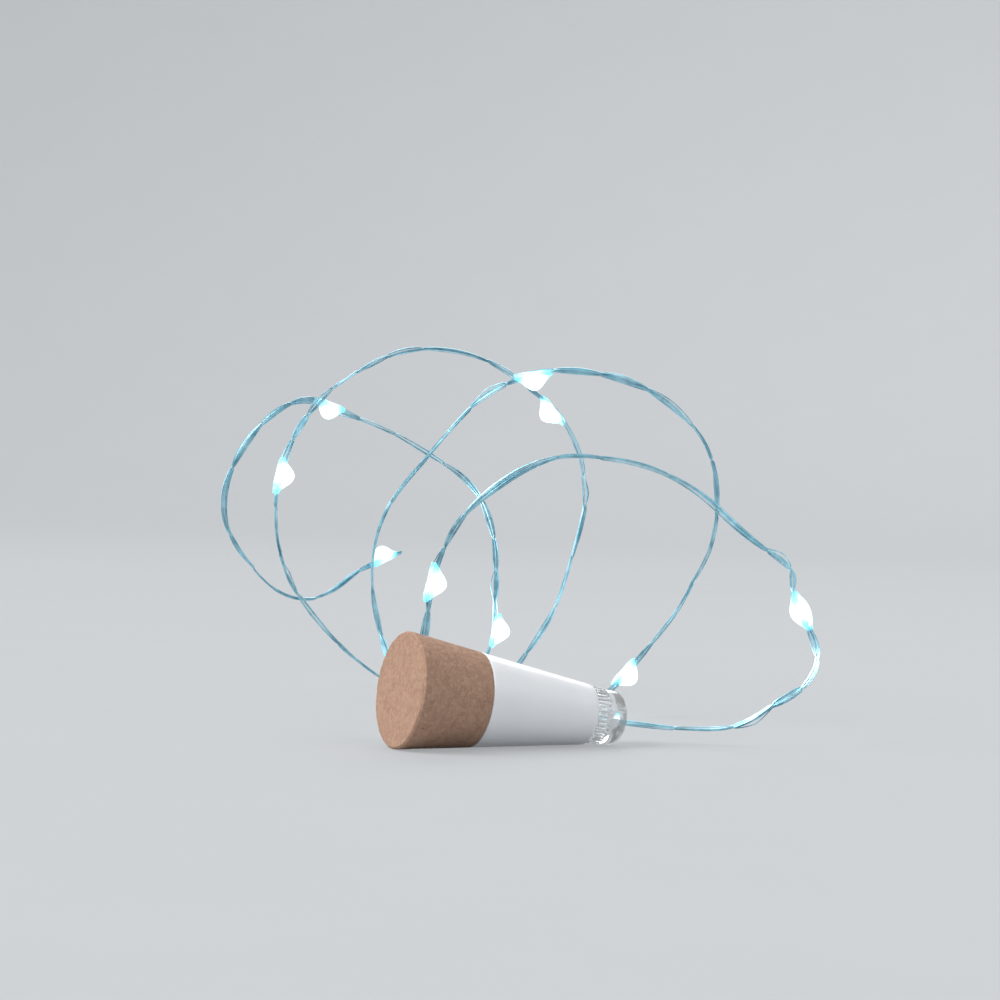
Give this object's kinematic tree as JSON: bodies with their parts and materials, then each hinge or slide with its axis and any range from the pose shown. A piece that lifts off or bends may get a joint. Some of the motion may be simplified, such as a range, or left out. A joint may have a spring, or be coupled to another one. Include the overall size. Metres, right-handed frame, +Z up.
{
  "type": "bottle light",
  "caption": "Tapered cork stopper light with a white shell, a pull-off cork cap over a USB plug, a clear twist tip and a string of small lights.",
  "frame": {"origin": "on the table under the middle of the stopper as it lies on its side, without the string", "axes": "+Z up, +X from the cork's wide end towards the clear tip, +Y towards the side where the string stands"},
  "size_m": [0.0882, 0.151, 0.0784],
  "materials": {
    "cork": "fine-grained natural cork, matt",
    "white_shell": "satin",
    "liner_plastic": "satin",
    "plug_metal": "bright nickel-plated",
    "tongue_plastic": "satin",
    "gold": "gold-plated",
    "board_green": "solder mask, semi-gloss",
    "chip_black": "matt",
    "passive_tan": "matt ceramic",
    "indicator_red": "clear red",
    "cell_foil": "satin foil",
    "pad_foam": "matt",
    "nickel": "nickel",
    "clear_plastic": "clear, polished",
    "string_silver": "fine clear-coated silver strands",
    "bead_resin": "clear resin, lit from inside",
    "led_white": "lit lamp"
  },
  "bodies": {
    "housing": {"body_shell": "white_shell", "end_plate": "white_shell", "usb_plug_shell": "plug_metal", "usb_tongue": "tongue_plastic", "usb_contacts": "gold", "circuit_board": "board_green", "charge_chip": "chip_black", "driver_chip": "chip_black", "board_parts": "passive_tan", "charge_indicator": "indicator_red", "lithium_cell": "cell_foil", "cell_pad": "pad_foam", "cell_tabs": "nickel", "switch_board": "board_green", "switch_tracks": "gold", "lead_bush": "liner_plastic", "string_leads": "string_silver", "string_wire": "string_silver", "led_bead_01": "bead_resin", "led_bead_02": "bead_resin", "led_bead_03": "bead_resin", "led_bead_04": "bead_resin", "led_bead_05": "bead_resin", "led_bead_06": "bead_resin", "led_bead_07": "bead_resin", "led_bead_08": "bead_resin", "led_bead_09": "bead_resin", "led_bead_10": "bead_resin", "led_chip_01": "led_white", "led_chip_02": "led_white", "led_chip_03": "led_white", "led_chip_04": "led_white", "led_chip_05": "led_white", "led_chip_06": "led_white", "led_chip_07": "led_white", "led_chip_08": "led_white", "led_chip_09": "led_white", "led_chip_10": "led_white"},
    "cap": {"cork_cap": "cork", "cap_liner": "liner_plastic"},
    "tip": {"clear_tip": "clear_plastic", "tip_wiper": "gold"}
  },
  "joints": [
    {"name": "cap_pull", "type": "slide", "parent": "housing", "child": "cap", "axis": [-0.9916, 0, 0.1294], "range_m": [0, 0.02]},
    {"name": "tip_twist", "type": "hinge", "parent": "housing", "child": "tip", "pos_m": [0.01894, 0, 0.00552], "axis": [0.9916, 0, -0.1294], "range_deg": [0, 90]}
  ]
}
